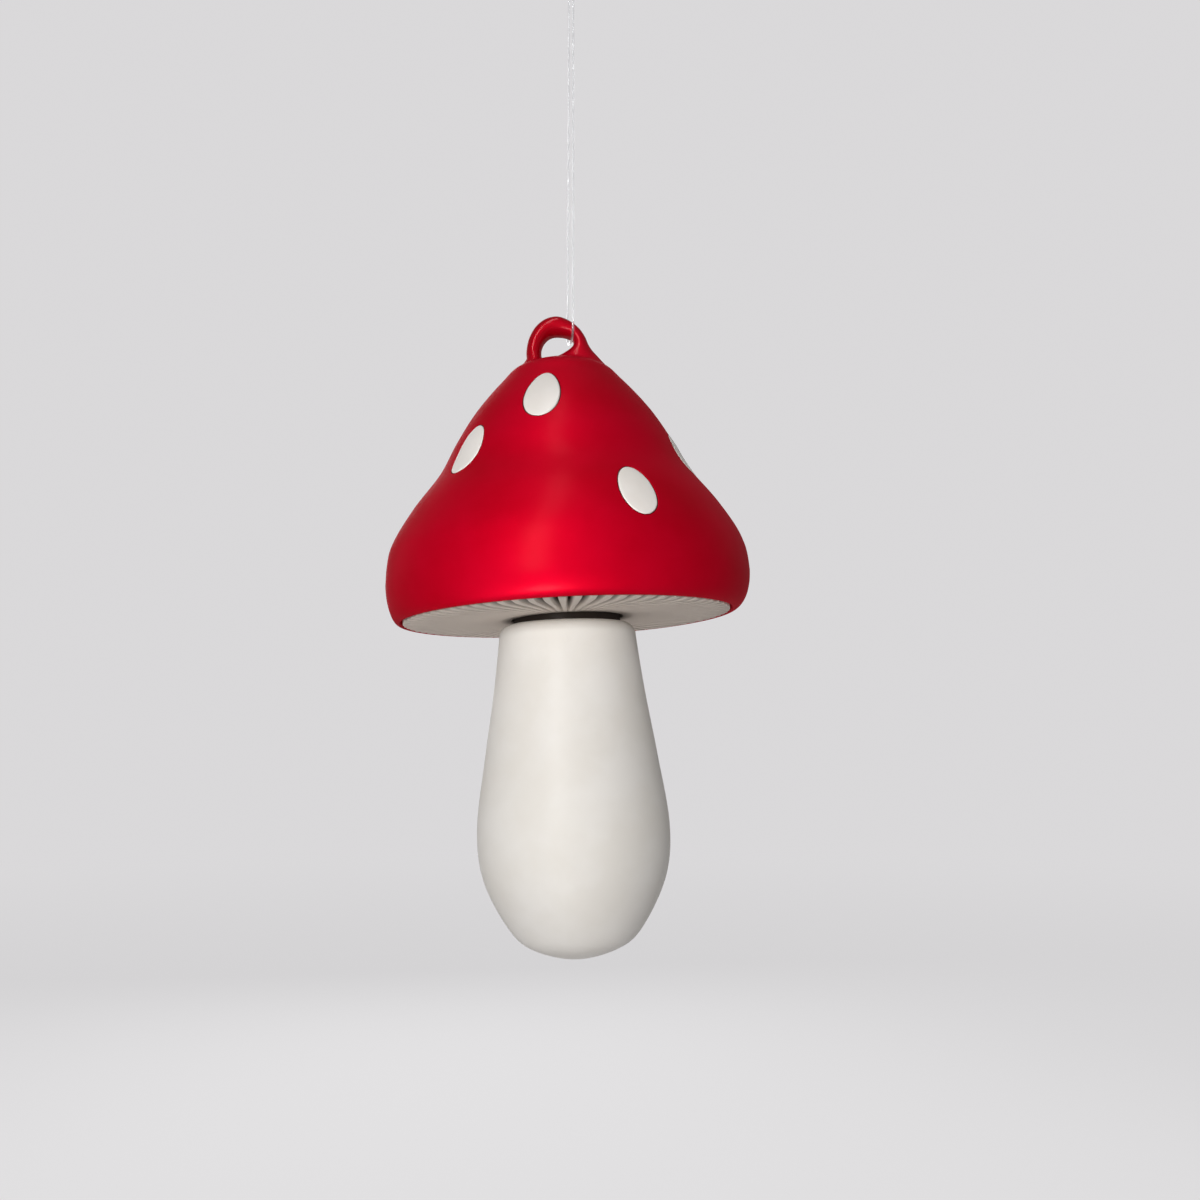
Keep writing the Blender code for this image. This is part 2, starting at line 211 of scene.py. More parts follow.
def lofted(rings, closed=False):
    """A skin over rings of equally many points; an open stack gets a point at each end."""
    bm = bmesh.new()
    rows = [[bm.verts.new(point) for point in ring] for ring in rings]
    pairs = list(zip(rows, rows[1:]))
    if closed:
        pairs.append((rows[-1], rows[0]))
    for row, following in pairs:
        for i in range(len(row)):
            j = (i + 1) % len(row)
            bm.faces.new((row[i], row[j], following[j], following[i]))
    if not closed:
        for row in (rows[0], rows[-1]):
            middle = bm.verts.new(sum((vert.co for vert in row), Vector()) / len(row))
            for i in range(len(row)):
                bm.faces.new((row[i], row[(i + 1) % len(row)], middle))
    return bm


def meshed(bm, name, sharp_degrees=60.0):
    """The finished mesh of a form, faces out and shaded smooth."""
    bmesh.ops.recalc_face_normals(bm, faces=bm.faces)
    mesh = bpy.data.meshes.new(name)
    bm.to_mesh(mesh)
    bm.free()
    mesh.shade_smooth()
    mesh.set_sharp_from_angle(angle=math.radians(sharp_degrees))
    return mesh


skin = fair([Vector((radius * MM, height * MM)) for radius, height in cap_points], skin_steps)
skin_lengths = [0.0]
for below, above in zip(skin, skin[1:]):
    skin_lengths.append(skin_lengths[-1] + (above - below).length)


def skin_at(length):
    """The cap skin's point at a length along it, and its outward normal, as radius and height."""
    for i in range(len(skin) - 1):
        if length <= skin_lengths[i + 1] or i == len(skin) - 2:
            share = (length - skin_lengths[i]) / (skin_lengths[i + 1] - skin_lengths[i])
            before = skin[max(i - 1, 0)]
            after = skin[min(i + 2, len(skin) - 1)]
            along = (skin[i + 1] - before).lerp(after - skin[i], share).normalized()
            return skin[i].lerp(skin[i + 1], share), Vector((along.y, -along.x))


def skin_length_at(height):
    """The length along the skin at which it reaches a height."""
    for i in range(len(skin) - 1):
        if skin[i].y <= height <= skin[i + 1].y:
            share = (height - skin[i].y) / (skin[i + 1].y - skin[i].y)
            return skin_lengths[i] + share * (skin_lengths[i + 1] - skin_lengths[i])
    return skin_lengths[-1]


def eased(value, low, high):
    """A soft passage from 0 at the low value to 1 at the high one."""
    share = min(1.0, max(0.0, (value - low) / (high - low)))
    return share * share * (3 - 2 * share)


def tilted(point):
    """The rim hangs a little low, and lower at the left and at the back."""
    away = 1 - eased(point.z, slope_low, slope_high)
    drop = rim_slope.x * point.x + rim_slope.y * point.y - rim_drop
    return point + Vector((0.0, 0.0, away * drop))


def shifted(point):
    """The skin sits a little to the right of the mouth, the eye and the stem."""
    outward = eased(math.hypot(point.x, point.y), cap_radius - lip_round, cap_radius)
    share = max(outward, eased(point.z, 0.0, slope_high))
    return tilted(point) + Vector((skin_shift * share, 0.0, 0.0))


def on_cap(azimuth, length, lift):
    """A point of the cap's skin, lifted off it along its normal; azimuth 0 faces the front."""
    base, normal = skin_at(length)
    radius = base.x + lift * normal.x
    height = base.y + lift * normal.y
    return shifted(Vector((radius * math.sin(azimuth), -radius * math.cos(azimuth), height)))


mouth_radius = gill_radius + glue_gap
mouth_top = gill_thickness + glue_gap
neck_hole_radius = neck_radius + glue_gap
neck_hole_top = neck_length + glue_gap
outline = [(0.0, cap_height)]
outline += [(point.x, point.y) for point in reversed(skin[1:-1])]
for i in range(lip_steps):
    turn = math.pi / 2 * i / lip_steps
    lip_reach = cap_radius - lip_round * (1 - math.cos(turn))
    outline.append((lip_reach, lip_height * (1 - math.sin(turn))))
outline += [
    (mouth_radius, mouth_round),
    (mouth_radius, mouth_top),
    (neck_hole_radius, mouth_top),
    (neck_hole_radius, neck_hole_top),
    (0.0, neck_hole_top),
]
cap_form = turned(outline, cap_sides)
for vert in cap_form.verts:
    reach = math.hypot(vert.co.x, vert.co.y)
    in_mouth = reach < mouth_radius + hair and vert.co.z < neck_hole_top + hair
    vert.co = tilted(vert.co) if in_mouth else shifted(vert.co)
cap_mesh = meshed(cap_form, "cap")


def cut_out(base, cutters):
    """The mesh of a casting with other forms cut out of it."""
    item = bpy.data.objects.new("base", base)
    bpy.context.scene.collection.objects.link(item)
    tools = []
    for cutter in cutters:
        tool = bpy.data.objects.new("tool", cutter)
        bpy.context.scene.collection.objects.link(tool)
        tools.append(tool)
        step = item.modifiers.new("step", "BOOLEAN")
        step.operation = "DIFFERENCE"
        step.object = tool
        step.solver = "EXACT"
    graph = bpy.context.evaluated_depsgraph_get()
    mesh = bpy.data.meshes.new_from_object(item.evaluated_get(graph))
    for old in [item, *tools]:
        bpy.data.objects.remove(old)
    return mesh


def oval_ring(place_on_cap, grow, lift, share=1.0):
    """An oval on the cap's skin, grown outward and lifted along the skin's normal."""
    degrees, height, half_width, half_length = place_on_cap
    middle = skin_length_at(height)
    radius = skin_at(middle)[0].x
    ring = []
    for i in range(oval_points):
        turn = 2 * math.pi * i / oval_points
        across = share * (half_width + grow) * math.cos(turn) / radius
        along = share * (half_length + grow) * math.sin(turn)
        ring.append(on_cap(math.radians(degrees) + across, middle + along, lift))
    return ring


seats = []
for spot_place in spot_places:
    rings = [oval_ring(spot_place, seat_gap, -seat_depth)]
    for i in range(oval_round_steps):
        turn = math.pi / 2 * i / oval_round_steps
        grow = seat_gap + seat_round * (1 - math.cos(turn))
        rings.append(oval_ring(spot_place, grow, -seat_round * (1 - math.sin(turn))))
    rings.append(oval_ring(spot_place, seat_gap + seat_flare, cutter_height))
    seats.append(meshed(lofted(rings), "seat"))

cap_mesh = cut_out(cap_mesh, seats)
cap_mesh.transform(hung)
cap_mesh.shade_smooth()
cap_mesh.set_sharp_from_angle(angle=math.radians(cap_sharp_degrees))


def finish(name, color, roughness):
    """A material with its nodes and its shader, for a colour and gloss that can then be varied."""
    material = bpy.data.materials.new(name)
    material.use_nodes = True
    tree = material.node_tree
    shader = tree.nodes["Principled BSDF"]
    shader.inputs["Base Color"].default_value = (*color, 1.0)
    shader.inputs["Roughness"].default_value = roughness
    return material, tree, shader


def mottle(tree, scale, detail):
    """A soft noise over the piece; the scale is per metre."""
    where = tree.nodes.new("ShaderNodeTexCoord")
    cloud = tree.nodes.new("ShaderNodeTexNoise")
    cloud.inputs["Scale"].default_value = scale
    cloud.inputs["Detail"].default_value = detail
    tree.links.new(where.outputs["Object"], cloud.inputs["Vector"])
    return cloud.outputs["Fac"]


def tint(tree, factor, first, second, low=0.35, high=0.65):
    """Two colours with a soft passage between them."""
    ramp = tree.nodes.new("ShaderNodeValToRGB")
    ramp.color_ramp.elements[0].position = low
    ramp.color_ramp.elements[0].color = (*first, 1.0)
    ramp.color_ramp.elements[1].position = high
    ramp.color_ramp.elements[1].color = (*second, 1.0)
    tree.links.new(factor, ramp.inputs["Fac"])
    return ramp.outputs["Color"]


def roughen(tree, shader, factor, smooth, rough):
    """Varies the gloss."""
    span = tree.nodes.new("ShaderNodeMapRange")
    span.inputs["To Min"].default_value = smooth
    span.inputs["To Max"].default_value = rough
    tree.links.new(factor, span.inputs["Value"])
    tree.links.new(span.outputs["Result"], shader.inputs["Roughness"])


def ripple(tree, shader, factor, strength):
    """Lifts the surface by a grain's height where the noise is high."""
    bump = tree.nodes.new("ShaderNodeBump")
    bump.inputs["Strength"].default_value = strength
    bump.inputs["Distance"].default_value = grain
    tree.links.new(factor, bump.inputs["Height"])
    tree.links.new(bump.outputs["Normal"], shader.inputs["Normal"])
    tree.links.new(bump.outputs["Normal"], shader.inputs["Coat Normal"])


def polish(shader, weight, roughness):
    """A thin satin gloss over a body that has none of its own."""
    shader.inputs["Specular IOR Level"].default_value = 0.0
    shader.inputs["Coat Weight"].default_value = weight
    shader.inputs["Coat Roughness"].default_value = roughness


def place(name, mesh, material, body, slot, *nodes):
    """Adds a finished piece, lets it ride on its body and stand for its nodes."""
    piece = bpy.data.objects.new(name, mesh)
    bpy.context.scene.collection.objects.link(piece)
    piece.data.materials.append(material)
    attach(piece, body)
    if nodes:
        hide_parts(*nodes)
    return piece


red_resin, tree, shader = finish("red_resin", color=(0.42, 0.0005, 0.011), roughness=0.58)
shader.inputs["Metallic"].default_value = 0.2
polish(shader, weight=0.012, roughness=0.25)
cloud = mottle(tree, scale=90.0, detail=3.0)
tree.links.new(tint(tree, cloud, red_dark, red_light), shader.inputs["Base Color"])
roughen(tree, shader, mottle(tree, scale=260.0, detail=4.0), smooth=0.54, rough=0.62)
ripple(tree, shader, mottle(tree, scale=700.0, detail=5.0), strength=0.15)
place("cap_casting", cap_mesh, red_resin, "toadstool", "red_resin", "cap")

# Eye
# The ring that the line runs through, a band of the same red resin bent over the crown, with round
# feet that run out on the cap's skin. The line has rubbed it to a higher gloss than the rest.
band_points = 48
band_rings = 80
band_squareness = 2.4
station_steps = 6
foot_round = 1.0 * MM
foot_mean = 0.7
foot_change = 0.3
foot_steps = 10
foot_sink = 1.0 * MM
half_depths = [Vector((station[4] * MM, 0.0)) for station in eye_stations]


def height_where(curve, reach):
    """The height at which a curve first reaches a distance from the axis."""
    for a, b in zip(curve, curve[1:]):
        if a.x != b.x and min(a.x, b.x) <= reach <= max(a.x, b.x):
            return a.y + (b.y - a.y) * (reach - a.x) / (b.x - a.x)
    return curve[-1].y


def above_skin(point):
    """How far a point over the crown lies above the skin."""
    return point.z - height_where(skin, math.hypot(point.x - skin_shift, point.y))


def square_reach(turn):
    """The distance to the edge of a rounded square of half width 1 in a direction."""
    across = abs(math.sin(turn)) ** band_squareness
    along = abs(math.cos(turn)) ** band_squareness
    return 1 / (across + along) ** (1 / band_squareness)


arch = []
for outer, inner, half_depth in zip(
    fair(outside, station_steps), fair(inside, station_steps), fair(half_depths, station_steps)
):
    ring = []
    for i in range(band_points):
        turn = 2 * math.pi * i / band_points
        reach = square_reach(turn)
        middle = inner.lerp(outer, 0.5 + 0.5 * reach * math.cos(turn))
        ring.append(Vector((middle.x, half_depth.x * reach * math.sin(turn), middle.y)))
    arch.append(ring)


def on_band(i, station):
    """A point on one of the band's edges from foot to foot, between two rings."""
    before = min(max(int(station), 0), len(arch) - 2)
    return arch[before][i].lerp(arch[before + 1][i], station - before)


def band_end(i, rise, stations):
    """Where an edge comes down to a height above the skin, and where it would meet the skin."""
    for before, after in zip(stations, stations[1:]):
        high, low = above_skin(arch[before][i]), above_skin(arch[after][i])
        if low < rise or after == stations[-1]:
            corner = on_band(i, before + (after - before) * high / (high - low))
            corner.z -= above_skin(corner)
            return before + (after - before) * (high - rise) / (high - low), corner


feet = []
crown = len(arch) // 2
for stations in (range(crown, -1, -1), range(crown, len(arch))):
    rises = []
    for i in range(band_points):
        turn = 2 * math.pi * i / band_points
        rises.append(foot_round * (foot_mean + foot_change * math.cos(turn)))
    ends = [band_end(i, rises[i], stations) for i in range(band_points)]
    heart = sum((corner for _, corner in ends), Vector()) / band_points
    foot = [[] for _ in range(foot_steps + 1)]
    for i in range(band_points):
        station, corner = ends[i]
        top = on_band(i, station)
        outward = (corner - heart) * Vector((1.0, 1.0, 0.0))
        toe = corner + outward.normalized() * rises[i]
        toe.z -= above_skin(toe)
        for step in range(foot_steps + 1):
            share = step / foot_steps
            point = top * (1 - share) ** 2 + corner * 2 * share * (1 - share) + toe * share**2
            point.z += max(0.0, hair - above_skin(point))
            foot[step].append(point)
    foot.append([point - Vector((0.0, 0.0, foot_sink)) for point in foot[-1]])
    feet.append((foot, [station for station, _ in ends]))
(left_foot, left_ends), (right_foot, right_ends) = feet
rings = left_foot[::-1]
for step in range(1, band_rings):
    share = step / band_rings
    ring = []
    for i in range(band_points):
        ring.append(on_band(i, left_ends[i] + (right_ends[i] - left_ends[i]) * share))
    rings.append(ring)
rings += right_foot
eye_mesh = meshed(lofted(rings), "eye")


def marked(mesh, name, values):
    """Keeps a value for each point of a mesh, for its material."""
    marks = mesh.color_attributes.new(name, "FLOAT_COLOR", "POINT")
    for point, value in zip(marks.data, values):
        point.color = (value, value, value, 1.0)


def mark(tree, name):
    """The value kept for the points of a mesh."""
    marks = tree.nodes.new("ShaderNodeVertexColor")
    marks.layer_name = name
    return marks.outputs["Color"]


def passing(tree, factor, first, second):
    """Passes from one colour or number to another."""
    mix = tree.nodes.new("ShaderNodeMix")
    mix.data_type = "RGBA"
    tree.links.new(factor, mix.inputs[0])
    for value, socket in ((first, mix.inputs[6]), (second, mix.inputs[7])):
        if isinstance(value, bpy.types.NodeSocket):
            tree.links.new(value, socket)
        elif isinstance(value, tuple):
            socket.default_value = (*value, 1.0)
        else:
            socket.default_value = (value, value, value, 1.0)
    return mix.outputs[2]


# The band's mark rises from the feet: more gloss, and a little painted shade in its colour.
wear_and_shade = []
for number in range(len(rings)):
    from_foot = min(number, len(rings) - 1 - number)
    wear_and_shade += [eased(from_foot, 1, 2 * foot_steps)] * band_points
wear_and_shade += [0.0] * (len(eye_mesh.vertices) - len(wear_and_shade))
marked(eye_mesh, "wear_and_shade", wear_and_shade)
eye_mesh.transform(hung)

worn_and_shaded_resin, tree, shader = finish("worn_and_shaded_resin", color=(0.38, 0.0, 0.007), roughness=0.45)
shader.inputs["Metallic"].default_value = 0.15
polish(shader, weight=0.1, roughness=0.12)
band_wear_and_shade = mark(tree, "wear_and_shade")
cloud = mottle(tree, scale=90.0, detail=3.0)
# Painted shade: the band's red is a little darker than the cap's, for the light that falls off over
# the crown.
dull = tint(tree, cloud, red_dark, red_light)
band_painted_shade = tint(tree, cloud, first=(0.36, 0.0, 0.007), second=(0.40, 0.0005, 0.011))
for value, at_foot, at_band in (
    ("Base Color", dull, band_painted_shade),
    ("Roughness", 0.58, 0.45),
    ("Metallic", 0.2, 0.1),
    ("Coat Weight", 0.02, 0.1),
):
    tree.links.new(passing(tree, band_wear_and_shade, at_foot, at_band), shader.inputs[value])
ripple(tree, shader, mottle(tree, scale=700.0, detail=5.0), strength=0.12)
place("cast_eye", eye_mesh, worn_and_shaded_resin, "toadstool", "red_resin", "eye")

# Spots
# Ovals of cream resin poured into shallow seats in the cap and rubbed down level with it, each
# with a hair-thin seam round it where the two resins part, painted dark as the shade in it.
spot_proud = 0.06 * MM
spot_round = 0.22 * MM
spot_crown = 0.1 * MM
spot_bed = 0.2 * MM
crown_shares = (0.85, 0.65, 0.45, 0.25, 0.1)

# The seam in section: how far outside the spot's outline and above the skin each corner is, in mm
seam_corners = ((-0.1, -0.5), (0.02, -0.07), (0.11, -0.05), (0.2, -0.09), (0.2, -0.5))

# The sheet in each seam is painted near black red as shade.
seam_painted_shade, tree, shader = finish("seam_painted_shade", color=(0.06, 0.001, 0.004), roughness=0.5)
polish(shader, weight=0.2, roughness=0.4)
cloud = mottle(tree, scale=400.0, detail=3.0)
seam_shade_color = tint(tree, cloud, first=(0.045, 0.0, 0.003), second=(0.075, 0.002, 0.006))
tree.links.new(seam_shade_color, shader.inputs["Base Color"])

spot_resin, tree, shader = finish("spot_resin", color=(0.92, 0.87, 0.82), roughness=0.45)
polish(shader, weight=0.25, roughness=0.35)
cloud = mottle(tree, scale=160.0, detail=4.0)
spot_color = tint(tree, cloud, first=(0.90, 0.845, 0.79), second=(0.94, 0.895, 0.85))
tree.links.new(spot_color, shader.inputs["Base Color"])
roughen(tree, shader, mottle(tree, scale=300.0, detail=4.0), smooth=0.38, rough=0.55)
ripple(tree, shader, mottle(tree, scale=900.0, detail=5.0), strength=0.2)

for number, spot_place in enumerate(spot_places, 1):
    rings = [oval_ring(spot_place, grow * MM, lift * MM) for grow, lift in seam_corners]
    mesh = meshed(lofted(rings, closed=True), f"seam_{number}")
    mesh.transform(hung)
    place(f"spot_seam_{number}", mesh, seam_painted_shade, "toadstool", "red_resin")
    rings = [oval_ring(spot_place, 0.0, -seat_depth + spot_bed)]
    for i in range(oval_round_steps + 1):
        turn = math.pi / 2 * i / oval_round_steps
        grow = -spot_round * (1 - math.cos(turn))
        lift = spot_proud - spot_round * (1 - math.sin(turn))
        rings.append(oval_ring(spot_place, grow, lift))
    for share in crown_shares:
        lift = spot_proud + spot_crown * (1 - share**2)
        rings.append(oval_ring(spot_place, -spot_round, lift, share))
    mesh = meshed(lofted(rings), f"spot_{number}")
    mesh.transform(hung)
    place(
        f"spot_inlay_{number}", mesh, spot_resin, "toadstool", "cream_resin", f"spot_{number}"
    )

# Gills
# A cast disc of cream resin in the cap's mouth, flush with its rim, with gills that stand apart at
# the rim and run together into a plain collar round the stem.
gill_count = 72
points_per_gill = 14
gill_rows = 26
gill_collar = 1.6 * MM
gill_start = gill_collar * 0.4
gill_depth = 1.9 * MM
gill_proud = 0.2 * MM
gill_valley_share = 0.52
valley_bow = 0.8
deepening = 0.8
proud_low, proud_high = 0.2, 0.85
level_low, level_high = 0.9, 1.0
disc_hole = neck_radius + glue_gap
hole_round = 0.1 * MM
collar_width = 2.4 * MM
collar_shade = 0.25


def gill_row(radius, valley, height):
    """A ring of the disc's face, broad crests with round-edged valleys, and the share of its cut
    that sets the painted shade.
    """
    ring = []
    valley_shades = []
    for i in range(gill_count * points_per_gill):
        share = (i % points_per_gill) / points_per_gill
        away = abs(share - 0.5) / (gill_valley_share / 2)
        cut = valley * (0.5 + 0.5 * math.cos(math.pi * min(1.0, away))) ** valley_bow
        turn = 2 * math.pi * i / (gill_count * points_per_gill)
        ring.append(Vector((radius * math.sin(turn), -radius * math.cos(turn), height + cut)))
        valley_shades.append(cut / gill_depth)
    return ring, valley_shades


rows = [
    gill_row(disc_hole, 0.0, gill_thickness),
    gill_row(disc_hole, 0.0, hole_round),
    gill_row(disc_hole + hole_round, 0.0, 0.0),
]
for i in range(1, gill_rows + 1):
    share = i / gill_rows
    radius = disc_hole + gill_start + (gill_radius - disc_hole - gill_start) * share
    proud = gill_proud * eased(share, proud_low, proud_high)
    proud *= 1 - eased(share, level_low, level_high)
    rows.append(gill_row(radius, gill_depth * share**deepening, -proud))
rows.append(gill_row(gill_radius, 0.0, gill_thickness))
rings = [[tilted(point) for point in ring] for ring, _ in rows]
mesh = meshed(lofted(rings, closed=True), "gills", sharp_degrees=40.0)
mesh.transform(hung)

# Painted shade: each valley darkens with its depth, and the plate darkens towards the hole round
# the neck.
shades = []
for ring, (_, valley_shades) in zip(rings, rows):
    near = math.hypot(ring[0].x, ring[0].y) - disc_hole
    shade = collar_shade * (1 - eased(near, 0.0, collar_width))
    shades += [max(cut, shade) for cut in valley_shades]
marked(mesh, "painted_shade", shades)

gill_resin, tree, shader = finish("gill_resin", color=(0.66, 0.59, 0.53), roughness=0.6)
polish(shader, weight=0.0, roughness=0.45)
# The cream turns near black where the painted shade is strong.
gill_color_and_shade = tint(
    tree,
    mark(tree, "painted_shade"),
    first=(0.74, 0.66, 0.59),
    second=(0.03, 0.02, 0.015),
    low=0.04,
    high=0.55,
)
tree.links.new(gill_color_and_shade, shader.inputs["Base Color"])
ripple(tree, shader, mottle(tree, scale=900.0, detail=5.0), strength=0.2)
place("gill_plate", mesh, gill_resin, "toadstool", "cream_resin", "gill_disc")

# Stem
# A pear of cream resin with a rounded shoulder, cast solid and sanded smooth, whose neck plugs
# through the gill disc into the cap.
shoulder_gap = 1.1 * MM
shoulder_radius = 10.9 * MM
shoulder_round = 2.1 * MM
stem_points = (
    (10.9, -1.1),
    (10.9, -3.2),
    (12.0, -12.0),
    (13.6, -22.0),
    (15.1, -33.0),
    (14.25, -41.0),
    (10.45, -48.5),
    (6.7, -51.7),
    (0.0, -53.3),
    (-6.7, -51.7),
)
neck_chamfer = 0.5 * MM
stem_steps = 12
stem_sides = 160
outline = [
    (0.0, neck_length),
    (neck_radius - neck_chamfer, neck_length),
    (neck_radius, neck_length - neck_chamfer),
    (neck_radius, -shoulder_gap),
]
for i in range(stem_steps):
    turn = math.pi / 2 * i / stem_steps
    shoulder_reach = shoulder_radius - shoulder_round * (1 - math.sin(turn))
    outline.append((shoulder_reach, -shoulder_gap - shoulder_round * (1 - math.cos(turn))))
body = fair([Vector((radius * MM, height * MM)) for radius, height in stem_points], stem_steps)
outline += [(point.x, point.y) for point in body]
mesh = meshed(turned(outline, stem_sides), "stem")
# The neck under the gill disc is painted near black as shade, for the gap between the shoulder and
# the disc.
shaded_neck = [1.0 if vert.co.z > -shoulder_gap - hair else 0.0 for vert in mesh.vertices]
marked(mesh, "painted_shade", shaded_neck)
mesh.transform(hung)

stem_resin, tree, shader = finish("stem_resin", color=(0.81, 0.78, 0.73), roughness=0.45)
polish(shader, weight=0.15, roughness=0.4)
cloud = mottle(tree, scale=120.0, detail=4.0)
stem_color = tint(tree, cloud, first=(0.79, 0.755, 0.70), second=(0.83, 0.80, 0.755))
# Painted shade for the neck.
neck_painted_shade = (0.035, 0.026, 0.021)
neck_shaded_color = passing(tree, mark(tree, "painted_shade"), stem_color, neck_painted_shade)
tree.links.new(neck_shaded_color, shader.inputs["Base Color"])
roughen(tree, shader, mottle(tree, scale=300.0, detail=4.0), smooth=0.38, rough=0.55)
ripple(tree, shader, mottle(tree, scale=900.0, detail=5.0), strength=0.2)
place("stem_casting", mesh, stem_resin, "toadstool", "cream_resin", "stem")

# Line
# One length of clear nylon line, doubled: it runs down in front of the eye's band, through the hole
# and up behind it, and the toadstool's weight draws both strands taut.
loop_height = 14.0 * MM
knot_height = 1.8 * MM
knot_gap = 0.5 * MM
strand_spread = 0.5 * MM
twin_gap = 0.35 * MM
wrap_steps = 28
strand_steps = 40
line_roundness = 5
knot_bottom = -loop_height - knot_height
strand_top = knot_bottom - knot_gap / 2
rest_reach = line_radius + line_gap
wrap_side = band_depth * MM + rest_reach
band_top = height_where(fair(outside, edge_steps), line_middle.x)
band_roof = height_where(fair(inside, edge_steps), line_middle.x)
wrap_rise = (band_top - band_roof) / 2 + rest_reach

clear_nylon, tree, shader = finish("clear_nylon", color=(0.90, 0.91, 0.92), roughness=0.12)
shader.inputs["Transmission Weight"].default_value = 0.9
shader.inputs["Specular IOR Level"].default_value = 0.1
shader.inputs["IOR"].default_value = 1.53
cloud = mottle(tree, scale=500.0, detail=2.0)
nylon_color = tint(tree, cloud, first=(0.87, 0.88, 0.89), second=(0.93, 0.94, 0.95))
tree.links.new(nylon_color, shader.inputs["Base Color"])
roughen(tree, shader, mottle(tree, scale=900.0, detail=2.0), smooth=0.08, rough=0.14)


def nylon(name, *routes):
    """Round nylon line along one or more routes, as a curve with closed ends."""
    curve = bpy.data.curves.new(name, "CURVE")
    curve.dimensions = "3D"
    curve.bevel_depth = line_radius
    curve.bevel_resolution = line_roundness
    curve.use_fill_caps = True
    for route in routes:
        spline = curve.splines.new("POLY")
        spline.points.add(len(route) - 1)
        for point, where in zip(spline.points, route):
            point.co = (*where, 1.0)
    return curve


half = []
for i in range(wrap_steps + 1):
    turn = math.pi / 2 * i / wrap_steps
    height = -line_drop + wrap_rise * (1 - math.cos(turn))
    half.append(Vector((strand_spread * math.sin(turn), -wrap_side * math.sin(turn), height)))
strand_end = Vector((twin_gap, -twin_gap / 2, strand_top))
for i in range(1, strand_steps + 1):
    half.append(half[wrap_steps].lerp(strand_end, i / strand_steps))
route = half[::-1] + [Vector((-point.x, -point.y, point.z)) for point in half[1:]]
mesh = nylon("line_strands", route)
strands = place("line_strands", mesh, clear_nylon, "line", "clear_nylon", "thread")

# Knot
# The two strands run up into the small loop, and the line's end is wound round them in four tight
# turns and drawn down hard, as anglers tie it.
knot_radius = 0.85 * MM
knot_turns = 4
turn_points = 24
coil_reach = knot_radius - line_radius
coil_tuck = 0.5
tuck_share = 0.05
core_reach = 0.19 * MM
core_steps = 24
core_overlap = 0.1 * MM
coil = []
for i in range(knot_turns * turn_points + 1):
    share = i / (knot_turns * turn_points)
    turn = 2 * math.pi * knot_turns * share
    opening = eased(min(share, 1 - share), 0.0, tuck_share)
    reach = coil_reach * (coil_tuck + (1 - coil_tuck) * opening)
    height = knot_bottom + line_radius + (knot_height - 2 * line_radius) * share
    coil.append(Vector((reach * math.cos(turn), reach * math.sin(turn), height)))
core = []
core_turn = math.atan2(-twin_gap / 2, twin_gap)
for side in (0.0, math.pi):
    strand = []
    for i in range(core_steps + 1):
        share = i / core_steps
        turn = side + core_turn + (math.pi - core_turn) * share
        reach = twin_gap + (core_reach - twin_gap) * math.sqrt(math.sin(math.pi * share))
        rise = (knot_height + knot_gap + 2 * core_overlap) * share
        height = strand_top - core_overlap + rise
        strand.append(Vector((reach * math.cos(turn), reach * math.sin(turn), height)))
    core.append(strand)
mesh = nylon("wound_knot", coil, *core)
place("wound_knot", mesh, clear_nylon, "knot", "clear_nylon", "knot")

# Hanging loop
# The line's upper end, a small loop of the same clear nylon, drawn up into a drop by the hook that
# it hangs from and closed below by the knot.
loop_width = 8.0 * MM
loop_steps = 96
loop_start = -loop_height + line_gap
loop_rise = loop_height + line_radius - line_gap
widest_turn = math.radians(120)
widest_swell = math.sin(widest_turn) * math.sin(widest_turn / 2) ** 2
route = []
for i in range(loop_steps + 1):
    turn = 2 * math.pi * i / loop_steps
    swell = math.sin(turn) * math.sin(turn / 2) ** 2 / widest_swell
    side = -twin_gap * math.cos(turn / 2) - loop_width / 2 * swell
    height = loop_start + loop_rise * (1 - math.cos(turn)) / 2
    route.append(Vector((side, 0.0, height)))
mesh = nylon("loop_of_line", route)
loop = place("loop_of_line", mesh, clear_nylon, "loop", "clear_nylon", "hanging_loop")

# Stage
# A plain pale floor well below the toadstool and a pale sky. A soft key lamp stands near the camera
# with narrow lamps for the gloss round it, and weaker soft lamps stand behind, beside and above.
bpy.context.scene.view_settings.view_transform = "Standard"
pale = (0.70, 0.69, 0.70)
bounce = 0.07
floor_height = -0.3
floor_reach = 3.0
floor_glow = 0.9
floor_shadow = 0.15
fade_near = 0.2
fade_far = 1.8


def shown_or_bounced(tree, shown, bounced, output):
    """The camera, reflections and glass see one shader, and bounced light sees another."""
    rays = tree.nodes.new("ShaderNodeLightPath")
    seen = rays.outputs["Is Camera Ray"]
    for other in ("Is Glossy Ray", "Is Transmission Ray"):
        either = tree.nodes.new("ShaderNodeMath")
        either.operation = "MAXIMUM"
        tree.links.new(seen, either.inputs[0])
        tree.links.new(rays.outputs[other], either.inputs[1])
        seen = either.outputs[0]
    mix = tree.nodes.new("ShaderNodeMixShader")
    tree.links.new(seen, mix.inputs["Fac"])
    tree.links.new(bounced, mix.inputs[1])
    tree.links.new(shown, mix.inputs[2])
    tree.links.new(mix.outputs[0], output)


world = bpy.data.worlds.new("studio")
bpy.context.scene.world = world
world.use_nodes = True
tree = world.node_tree
background = tree.nodes["Background"]
background.inputs["Color"].default_value = (1.0, 1.0, 1.0, 1.0)
background.inputs["Strength"].default_value = bounce
sky = tree.nodes.new("ShaderNodeBackground")
sky.inputs["Color"].default_value = (*pale, 1.0)
world_surface = tree.nodes["World Output"].inputs["Surface"]
shown_or_bounced(tree, sky.outputs[0], background.outputs[0], world_surface)

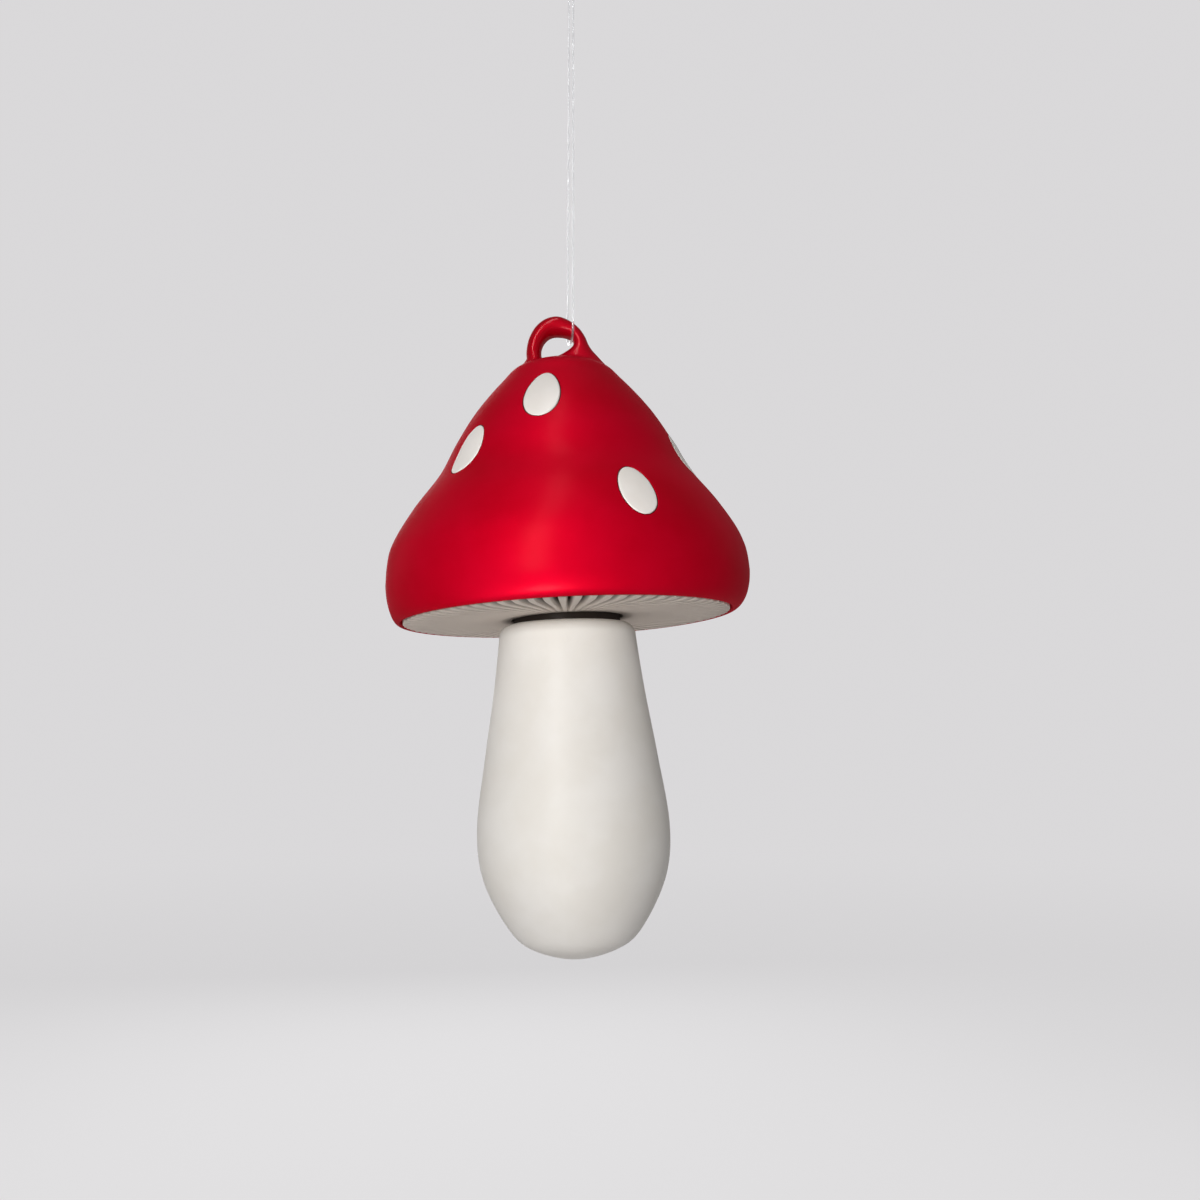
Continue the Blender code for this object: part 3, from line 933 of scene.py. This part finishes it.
floor_mesh = bpy.data.meshes.new("floor")
corners = [(-1, -1), (1, -1), (1, 1), (-1, 1)]
floor_mesh.from_pydata(
    [(x * floor_reach, y * floor_reach, 0.0) for x, y in corners], [], [(0, 1, 2, 3)]
)
floor = bpy.data.objects.new("floor", floor_mesh)
floor.location = (0.0, 0.0, floor_height)
bpy.context.scene.collection.objects.link(floor)
floor_paint, tree, shader = finish("floor_paint", color=pale, roughness=0.9)
shadowed = tree.nodes.new("ShaderNodeBsdfDiffuse")
shadowed.inputs["Color"].default_value = (floor_shadow, floor_shadow, floor_shadow, 1.0)
glow = tree.nodes.new("ShaderNodeEmission")
glow.inputs["Color"].default_value = (*[floor_glow * value for value in pale], 1.0)
near_floor = tree.nodes.new("ShaderNodeAddShader")
tree.links.new(shadowed.outputs[0], near_floor.inputs[0])
tree.links.new(glow.outputs[0], near_floor.inputs[1])
far_glow = tree.nodes.new("ShaderNodeEmission")
far_glow.inputs["Color"].default_value = (*pale, 1.0)
where = tree.nodes.new("ShaderNodeTexCoord")
distance = tree.nodes.new("ShaderNodeVectorMath")
distance.operation = "LENGTH"
tree.links.new(where.outputs["Object"], distance.inputs[0])
fade = tree.nodes.new("ShaderNodeMapRange")
fade.interpolation_type = "SMOOTHSTEP"
fade.inputs["From Min"].default_value = fade_near
fade.inputs["From Max"].default_value = fade_far
tree.links.new(distance.outputs["Value"], fade.inputs["Value"])
seen = tree.nodes.new("ShaderNodeMixShader")
tree.links.new(fade.outputs["Result"], seen.inputs["Fac"])
tree.links.new(near_floor.outputs[0], seen.inputs[1])
tree.links.new(far_glow.outputs[0], seen.inputs[2])
floor_surface = tree.nodes["Material Output"].inputs["Surface"]
shown_or_bounced(tree, seen.outputs[0], shader.outputs[0], floor_surface)
floor.data.materials.append(floor_paint)


def lamp(name, size, power, location, target, diffuse=True, glossy=True, spread=180.0):
    """A soft lamp that looks at a point; it may leave out the body's light or the gloss."""
    light = bpy.data.lights.new(name, "AREA")
    light.shape = "RECTANGLE"
    light.size, light.size_y = size
    light.energy = power
    light.spread = math.radians(spread)
    item = bpy.data.objects.new(name, light)
    bpy.context.scene.collection.objects.link(item)
    item.location = location
    aim = Vector(target) - Vector(location)
    item.rotation_euler = aim.to_track_quat("-Z", "Y").to_euler()
    item.visible_camera = False
    item.visible_transmission = False
    item.visible_diffuse = diffuse
    item.visible_glossy = glossy


middle = (0.0, 0.0, -0.12)
cap_front = (0.0, -0.028, -0.112)
lip_front = (0.0, -0.028, -0.12)
crown_front = (0.0, -0.01, -0.1)
lamp("key", (0.06, 0.05), 0.305, (-0.036, -0.195, -0.113), middle, glossy=False)
lamp("shine", (0.045, 0.2), 0.82, (-0.062, -0.2, -0.07), cap_front, diffuse=False)
lamp("low", (0.10, 0.08), 0.015, (-0.02, -0.12, -0.255), middle, glossy=False)
lamp("glint", (0.035, 0.05), 0.022, (-0.025, -0.12, -0.25), lip_front, diffuse=False, spread=30.0)
lamp("strip", (0.03, 0.16), 0.26, (-0.03, -0.1, 0.06), crown_front, diffuse=False)
lamp("back", (0.4, 0.4), 2.2, (-0.1, 0.6, 0.1), middle)
for side in (-1, 1):
    lamp("fill", (0.3, 0.2), 0.42, (side * 0.345, 0.25, 0.02), middle, glossy=False)
lamp("top", (0.3, 0.3), 0.35, (0.0, 0.05, 0.35), middle, glossy=False)
